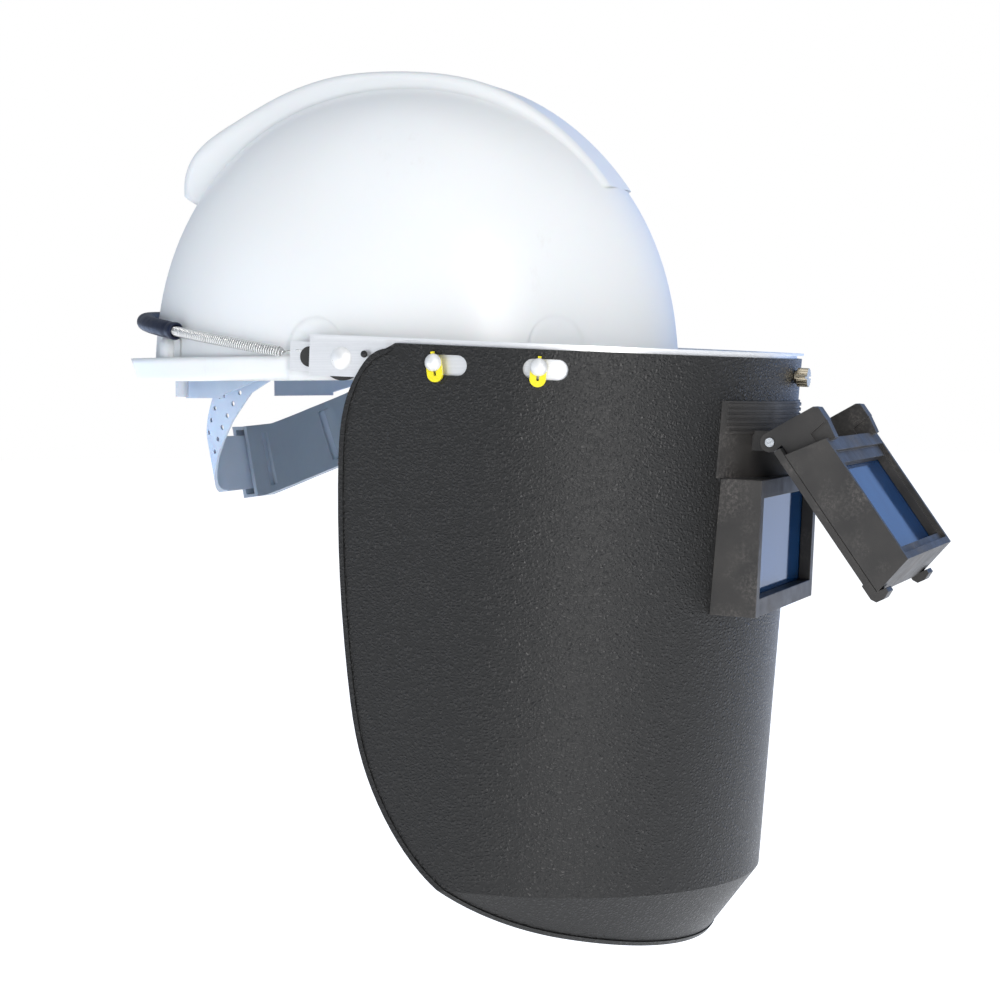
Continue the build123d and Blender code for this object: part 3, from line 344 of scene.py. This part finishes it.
def sweatband_finish():
    """Brushed fabric over foam, with a fine weave and scattered vent holes whose dark insides are painted
    shade.
    """
    f = Finish("sweatband_fabric", (0.30, 0.34, 0.40), 0.88)
    f.shader.inputs["Sheen Weight"].default_value = 0.45
    f.shader.inputs["Sheen Roughness"].default_value = 0.5
    thread = {"Vector": f.where, "Scale": 320.0}
    across = f.node("ShaderNodeTexWave", thread, bands_direction="Z").outputs["Fac"]
    along = f.node("ShaderNodeTexWave", thread, bands_direction="X").outputs["Fac"]
    weave = f.math("MULTIPLY", across, along)
    vent_hole_shade = f.span(f.cells(210.0, place=f.place((1.0, 1.0, 1.0))), 0.16, 0.24)
    cloth = f.mix(f.span(f.noise(60.0, 4.0), 0.3, 0.7), (0.33, 0.37, 0.43), (0.26, 0.30, 0.36))
    cloth = f.mix(f.math("MULTIPLY", weave, 0.4), cloth, (0.42, 0.46, 0.52))
    # Vent holes coloured near black: painted shade inside the holes.
    f.put("Base Color", f.mix(vent_hole_shade, (0.07, 0.08, 0.10), cloth))
    f.put("Normal", f.bump(vent_hole_shade, 0.0003, 0.8, f.bump(weave, 0.00012, 0.7)))
    return f.material


def floor_finish():
    f = Finish("pale_floor", (0.90, 0.90, 0.90), 0.9, Emission_Strength=0.8)
    f.shader.inputs["Emission Color"].default_value = (1, 1, 1, 1)
    f.put("Base Color", f.mix(f.span(f.noise(3.0, 2.0), 0.3, 0.7), (0.91, 0.91, 0.91), (0.89, 0.89, 0.89)))
    return f.material


FINISHES = {
    "shell": shell_finish(),
    # Suspension and nape sleeve polythene: their blue tint is painted blue light on whitish plastic.
    "suspension": polythene_finish("suspension_polythene", (0.50, 0.60, 0.74), (0.42, 0.53, 0.68)),
    "key": polythene_finish("key_polythene", (0.62, 0.66, 0.72), (0.50, 0.56, 0.64), 0.3),
    "nape": polythene_finish("nape_sleeve_polythene", (0.31, 0.38, 0.47), (0.26, 0.33, 0.42)),
    "aluminium": aluminium_finish(),
    "spring": metal_finish("zinc_spring", (0.70, 0.70, 0.69), 0.24, 0.1),
    "rubber": rubber_finish(),
    "shield": shield_finish(),
    "holder": holder_finish(),
    "screw": metal_finish("nickel_screw", (0.66, 0.58, 0.44), 0.24, 0.3),
    "chrome": metal_finish("chrome_pin", (0.86, 0.88, 0.90), 0.13, 0.1),
    # Cover and filter glass: their deep blue base colours are a painted reflection of blue surroundings.
    "cover": glass_finish("cover_glass", (0.005, 0.050, 0.150), (0.003, 0.034, 0.110), 0.08),
    "filter": glass_finish("filter_glass", (0.004, 0.048, 0.150), (0.002, 0.030, 0.105), 0.0),
    "rivet": metal_finish("satin_rivet", (0.84, 0.84, 0.83), 0.56, 0.5, 0.55),
    "washer": metal_finish("fibre_washer", (0.022, 0.021, 0.020), 0.62, 0.1, 0.0),
    "clip": clip_finish(),
    "sweatband": sweatband_finish(),
}

NODE_FINISHES = {
    "shell": "shell",
    "crown_web": "suspension",
    "headband": "suspension",
    "suspension_key": "key",
    "nape_strap": "suspension",
    "nape_sleeve": "nape",
    "brow_pad": "sweatband",
    "inner_band": "aluminium",
    "outer_band": "aluminium",
    "tension_spring": "spring",
    "spring_sleeve": "rubber",
    "spring_anchor": "washer",
    "friction_washer": "washer",
    "pivot_rivet": "rivet",
    "shield_stud": "rivet",
    "shield_clip": "clip",
    "visor_shell": "shield",
    "hinge_panel": "holder",
    "lens_box": "holder",
    "lens_retainer": "holder",
    "flip_housing": "holder",
    "flip_back_plate": "holder",
    "filter_spacer": "holder",
    "cover_lens": "cover",
    "inner_cover_lens": "cover",
    "filter_plate": "filter",
    "hinge_pin": "chrome",
    "front_screw": "screw",
    "front_nut": "screw",
}


def finish_of(node):
    """The finish of a CAD node, by the longest name that its own name starts with."""
    names = [name for name in NODE_FINISHES if node.startswith(name)]
    return FINISHES[NODE_FINISHES[max(names, key=len)]]


def dress(thing, material):
    thing.data.materials.clear()
    thing.data.materials.append(material)


def add_mesh(name, points, faces, smooth=True):
    mesh = bpy.data.meshes.new(name)
    mesh.from_pydata([tuple(point) for point in points], [], faces)
    mesh.update()
    if smooth:
        mesh.polygons.foreach_set("use_smooth", [True] * len(mesh.polygons))
    made = bpy.data.objects.new(name, mesh)
    bpy.context.scene.collection.objects.link(made)
    return made


# --- Detailed pieces ---------------------------------------------------------------------------
def softened(node, width, slot):
    """Copy of a moulded CAD node with small rounded edges, which stands for it."""
    source = NODES[node]
    bm = bmesh.new()
    bm.from_mesh(source.data)
    bmesh.ops.remove_doubles(bm, verts=bm.verts, dist=2e-6)
    bmesh.ops.dissolve_limit(bm, angle_limit=radians(0.8), verts=bm.verts, edges=bm.edges)
    sharp = [edge for edge in bm.edges if edge.is_manifold and edge.calc_face_angle(0) > radians(38)]
    bmesh.ops.bevel(
        bm,
        geom=sharp,
        offset=width,
        offset_type="OFFSET",
        segments=2,
        profile=0.6,
        affect="EDGES",
        clamp_overlap=True,
    )
    mesh = bpy.data.meshes.new(node + "_moulded")
    bm.to_mesh(mesh)
    bm.free()
    mesh.polygons.foreach_set("use_smooth", [True] * len(mesh.polygons))
    mesh.set_sharp_from_angle(angle=radians(38))
    made = bpy.data.objects.new(node + "_moulded", mesh)
    bpy.context.scene.collection.objects.link(made)
    weights = made.modifiers.new("weighted", "WEIGHTED_NORMAL")
    weights.keep_sharp = True
    dress(made, finish_of(node))
    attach(made, source["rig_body"])
    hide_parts(node)
    return made


def tube(name, points, radii, sides, bore=None):
    """Round tube along points, with a radius at each, closed at its ends or bored through."""
    ends = len(points) - 1
    forward = [(points[min(i + 1, ends)] - points[max(i - 1, 0)]).normalized() for i in range(ends + 1)]
    side = forward[0].orthogonal().normalized()
    walls = [radii] if bore is None else [radii, bore]
    rings = []
    for wall in walls:
        across = side
        for point, ahead, radius in zip(points, forward, wall):
            across = (across - ahead * across.dot(ahead)).normalized()
            other = ahead.cross(across)
            turns = [2 * pi * i / sides for i in range(sides)]
            rings.append([point + (across * cos(turn) + other * sin(turn)) * radius for turn in turns])
    if bore is not None:
        half = len(points)
        rings = rings[:half] + rings[half:][::-1]
    verts = [vert for ring in rings for vert in ring]
    count = len(rings)
    faces = []
    last = count if bore is not None else count - 1
    for i in range(last):
        first, second = i * sides, ((i + 1) % count) * sides
        for j in range(sides):
            k = (j + 1) % sides
            faces.append((first + j, first + k, second + k, second + j))
    if bore is None:
        faces.append(tuple(reversed(range(sides))))
        faces.append(tuple(range((count - 1) * sides, count * sides)))
    return add_mesh(name, verts, faces)


def spring_line(start, step):
    """Points along the spring's centre line: three tangent arcs in a plane that rises to the rear."""
    across = DOME_HALF_WIDTH - 0.0007 + SLEEVE_RADIUS + 0.0003
    rear = (DOME_HALF_LENGTH - 0.0004 + SLEEVE_RADIUS + 0.0006) / cos(SPRING_SLOPE)
    small = 0.69 * rear
    offset = rear - small
    large = (across**2 + offset**2 - small**2) / (2 * (across - small))
    shift = large - across
    meet = asin(offset / (large - small))
    begin = asin(start / cos(SPRING_SLOPE) / large)
    spans = [
        (-shift, 0.0, large, begin, meet),
        (0.0, offset, small, meet, pi - meet),
        (shift, 0.0, large, pi - meet, pi - begin),
    ]
    lift = SPRING_ANCHOR_HEIGHT - SPRING_START * tan(SPRING_SLOPE)
    points = []
    for x, y, radius, low, high in spans:
        count = max(2, int(radius * (high - low) / step))
        for i in range(count):
            turn = low + (high - low) * i / count
            flat = Vector((x + radius * cos(turn), y + radius * sin(turn), 0))
            points.append(Vector((flat.x, flat.y * cos(SPRING_SLOPE), lift + flat.y * sin(SPRING_SLOPE))))
    last = Vector((-points[0].x, points[0].y, points[0].z))
    return points + [last]


def hook_points(sign, coil_end):
    """Wire from the coil's end to a ring round the anchor's neck."""
    x = sign * (PLATE_OUTER + SPRING_WIRE / 2)
    ring = ANCHOR_NECK + SPRING_WIRE / 2 + HOOK_GAP
    centre = Vector((0, ANCHOR_BACK, 0))
    points = []
    for i in range(HOOK_STEPS + 1):
        angle = radians(300.0) * i / HOOK_STEPS - radians(210.0)
        local = centre + Vector((0, ring * cos(angle), ring * sin(angle)))
        place = CARRIER_TURN @ local + PIVOT
        points.append(Vector((x, place.y, place.z)))
    mid = (points[-1] + coil_end) / 2 + Vector((sign * 0.0003, 0, 0.0004))
    return points + [mid]


def coil_spring():
    """Close-wound wire spring with a hook at each end."""
    line = spring_line(SPRING_START, COIL_PITCH / COIL_SIDES)
    wound = []
    radius = SPRING_RADIUS - SPRING_WIRE / 2
    grow = COIL_SIDES * 2
    for i, point in enumerate(line):
        ahead = (line[min(i + 1, len(line) - 1)] - line[max(i - 1, 0)]).normalized()
        up = Vector((0, 0, 1))
        side = ahead.cross(up).normalized()
        up = side.cross(ahead)
        turn = 2 * pi * i / COIL_SIDES
        reach = radius * min(1.0, (i + 1) / grow, (len(line) - i) / grow) ** 0.6
        wound.append(point + (side * cos(turn) + up * sin(turn)) * reach)
    wire = hook_points(1, line[0]) + wound + hook_points(-1, line[-1])[::-1]
    made = tube("spring_wire", wire, [SPRING_WIRE / 2] * len(wire), WIRE_SIDES)
    dress(made, FINISHES["spring"])
    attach(made, "helmet")
    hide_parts("tension_spring")


def rubber_sleeve():
    """Soft tube on the spring, with a rolled ring at each end and slight waves along it."""
    line = spring_line(SLEEVE_START, SLEEVE_STEP)
    outer, inner = [], []
    for i, point in enumerate(line):
        end = min(i, len(line) - 1 - i)
        groove = 0.00022 if SLEEVE_RING < end < SLEEVE_RING + 3 else 0.0
        swell = 0.00028 * max(0.0, 1 - end / SLEEVE_RING) - groove
        lip = -0.0005 if end == 0 else 0.0
        wave = 0.00010 * (noise.noise(point * 70) - 0.5)
        outer.append(SLEEVE_RADIUS + swell + lip + wave)
        inner.append(SLEEVE_BORE + (0.0003 if end == 0 else 0.0))
    made = tube("rubber_sleeve", line, outer, SLEEVE_SIDES, inner)
    dress(made, FINISHES["rubber"])
    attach(made, "helmet")
    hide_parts("spring_sleeve")


def brow_cushion():
    """Sweatband of foam in fabric, puffed by cloth pressure between its sewn edges."""
    low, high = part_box("brow_pad")
    half, front, back = high.x, -low.y, -high.y
    columns, rows = CUSHION_COLUMNS, CUSHION_ROWS
    limit = asin(min(1.0, (back + 0.001) / front))
    points, faces, fixed = [], [], []
    for layer, inset in enumerate((CUSHION_EDGE * 0.25, CUSHION_THICKNESS)):
        for i in range(columns + 1):
            turn = limit + (pi - 2 * limit) * i / columns
            for j in range(rows + 1):
                share = j / rows
                height = low.z + 0.0004 + (high.z - low.z - 0.0008) * share
                fall = (CUSHION_THICKNESS - CUSHION_EDGE) * (1 - sin(pi * share) ** 0.35)
                pinch = 0.0 if layer == 0 else fall
                depth = inset - pinch
                points.append(Vector(((half - depth) * cos(turn), -(front - depth) * sin(turn), height)))
                if layer == 0 or j in (0, rows) or i in (0, columns):
                    fixed.append(len(points) - 1)
    layer_size = (columns + 1) * (rows + 1)
    for i in range(columns):
        for j in range(rows):
            a = i * (rows + 1) + j
            quad = (a, a + 1, a + rows + 2, a + rows + 1)
            faces.append(quad[::-1])
            faces.append(tuple(layer_size + k for k in quad))
    border = [i * (rows + 1) for i in range(columns + 1)]
    border += [columns * (rows + 1) + j for j in range(1, rows + 1)]
    border += [i * (rows + 1) + rows for i in range(columns - 1, -1, -1)]
    border += [j for j in range(rows - 1, 0, -1)]
    for a, b in zip(border, border[1:] + border[:1]):
        faces.append((a, b, b + layer_size, a + layer_size))
    made = add_mesh("sweatband_cushion", points, faces)
    bm = bmesh.new()
    bm.from_mesh(made.data)
    bmesh.ops.recalc_face_normals(bm, faces=bm.faces)
    bm.to_mesh(made.data)
    bm.free()
    puff(made, fixed, CUSHION_SWELL)
    smooth = made.modifiers.new("smooth", "SUBSURF")
    smooth.levels = 1
    smooth.render_levels = 1
    dress(made, FINISHES["sweatband"])
    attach(made, "helmet")
    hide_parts("brow_pad")


def puff(made, fixed, most):
    """Swell a closed mesh by cloth pressure, hold its fixed points, and cap how far others move."""
    group = made.vertex_groups.new(name="sewn")
    group.add(fixed, 1.0, "REPLACE")
    before = [vert.co.copy() for vert in made.data.vertices]
    cloth = made.modifiers.new("cloth", "CLOTH")
    cloth.settings.use_pressure = True
    cloth.settings.uniform_pressure_force = 4.0
    cloth.settings.vertex_group_mass = "sewn"
    cloth.settings.effector_weights.gravity = 0.0
    cloth.settings.quality = 5
    for step in range(1, 21):
        bpy.context.scene.frame_set(step)
    swollen = made.evaluated_get(bpy.context.evaluated_depsgraph_get()).to_mesh()
    after = [vert.co.copy() for vert in swollen.vertices]
    made.modifiers.remove(cloth)
    for vert, was, now in zip(made.data.vertices, before, after):
        move = now - was
        vert.co = was + (move.normalized() * most if move.length > most else move)
    made.data.update()
    bpy.context.scene.frame_set(1)


def rear_boss(name, sign):
    """Rounded white boss in the gutter, outside the rear key socket."""
    spot = Vector((sign * BOSS_SIDE, BOSS_BACK, 0))
    out = Vector((spot.x / DOME_HALF_WIDTH**2, spot.y / DOME_HALF_LENGTH**2, 0)).normalized()
    along = Vector((-out.y, out.x, 0))
    levels, sides = BOSS_LEVELS, BOSS_SIDES
    points, faces = [], []
    for height, share in levels:
        for i in range(sides):
            turn = pi * i / (sides - 1)
            reach = abs(cos(turn)) ** 0.7 * (1 if cos(turn) > 0 else -1)
            sideways = along * BOSS_HALF_WIDTH * reach * max(share, 0.25)
            outward = out * (BOSS_DEPTH * sin(turn) ** 0.6 * share - BOSS_SINK)
            place = spot + sideways + outward
            points.append(Vector((place.x, place.y, height)))
    for i in range(len(levels) - 1):
        for j in range(sides):
            k = (j + 1) % sides
            faces.append((i * sides + j, i * sides + k, (i + 1) * sides + k, (i + 1) * sides + j))
    faces.append(tuple(reversed(range(sides))))
    faces.append(tuple(range((len(levels) - 1) * sides, len(levels) * sides)))
    made = add_mesh("rear_boss_" + name, points, faces)
    made.data.set_sharp_from_angle(angle=radians(50))
    dress(made, FINISHES["shell"])
    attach(made, "helmet")


def visor_nub():
    """Small moulded stud on the shield's edge bead, behind the band."""
    centre = CARRIER_TURN @ NUB_PLACE + PIVOT
    rings, sides, radius = NUB_RINGS, NUB_SIDES, NUB_RADIUS
    points = [centre + Vector((-radius * 0.8, 0, 0))]
    for i in range(1, rings + 1):
        tilt = pi / 2 * i / rings
        for j in range(sides):
            turn = 2 * pi * j / sides
            flat = Vector((0, cos(turn), sin(turn))) * radius * sin(tilt)
            points.append(centre + flat + Vector((-radius * 0.8 * cos(tilt), 0, 0)))
    faces = [(0, j + 1, (j + 1) % sides + 1) for j in range(sides)]
    for i in range(rings - 1):
        for j in range(sides):
            a, b = 1 + i * sides, 1 + (i + 1) * sides
            faces.append((a + j, b + j, b + (j + 1) % sides, a + (j + 1) % sides))
    faces.append(tuple(range(1 + (rings - 1) * sides, 1 + rings * sides)))
    made = add_mesh("visor_nub", points, faces)
    dress(made, FINISHES["shield"])
    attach(made, "shield_carrier")


def dress_frame():
    for name, thing in NODES.items():
        dress(thing, finish_of(name))


# --- Stage -------------------------------------------------------------------------------------
def camera():
    data = bpy.data.cameras.new("camera")
    data.lens = CAMERA_LENS
    data.sensor_width = 36.0
    made = bpy.data.objects.new("camera", data)
    bpy.context.scene.collection.objects.link(made)
    back = CAMERA_RIGHT.cross(CAMERA_UP).normalized()
    axes = Matrix((CAMERA_RIGHT.normalized(), back.cross(CAMERA_RIGHT).normalized(), back)).transposed()
    made.matrix_world = Matrix.Translation(CAMERA_PLACE) @ axes.to_4x4()
    bpy.context.scene.camera = made


def soft_light(name, place, aim, size, power, colour):
    """Area light that the camera doesn't see."""
    data = bpy.data.lights.new(name, "AREA")
    data.shape = "RECTANGLE"
    data.size, data.size_y = size
    data.energy = power
    data.color = colour
    made = bpy.data.objects.new(name, data)
    bpy.context.scene.collection.objects.link(made)
    made.location = place
    made.rotation_mode = "QUATERNION"
    made.rotation_quaternion = (Vector(aim) - Vector(place)).to_track_quat("-Z", "Y")
    made.visible_camera = False


def stage():
    sides = 64
    turns = [2 * pi * i / sides for i in range(sides)]
    rim = [(FLOOR_RADIUS * cos(turn), FLOOR_RADIUS * sin(turn), FLOOR_HEIGHT) for turn in turns]
    floor = add_mesh("floor", rim, [tuple(range(sides))], smooth=False)
    dress(floor, floor_finish())
    world = bpy.data.worlds.new("studio")
    world.use_nodes = True
    bpy.context.scene.world = world
    tree = world.node_tree
    background = tree.nodes["Background"]
    background.inputs["Color"].default_value = (0.80, 0.88, 1.0, 1)
    background.inputs["Strength"].default_value = 0.42
    white = tree.nodes.new("ShaderNodeBackground")
    white.inputs["Color"].default_value = (1, 1, 1, 1)
    white.inputs["Strength"].default_value = 1.0
    rays = tree.nodes.new("ShaderNodeLightPath")
    mix = tree.nodes.new("ShaderNodeMixShader")
    tree.links.new(rays.outputs["Is Camera Ray"], mix.inputs[0])
    tree.links.new(background.outputs[0], mix.inputs[1])
    tree.links.new(white.outputs[0], mix.inputs[2])
    tree.links.new(mix.outputs[0], tree.nodes["World Output"].inputs["Surface"])
    for light in LIGHTS:
        soft_light(*light)
    bpy.context.scene.view_settings.view_transform = "Standard"


camera()
stage()
dress_frame()
for moulded in MOULDED:
    softened(*moulded)
coil_spring()
rubber_sleeve()
brow_cushion()
visor_nub()
for side_name, side_sign in SIDES.items():
    rear_boss(side_name, side_sign)
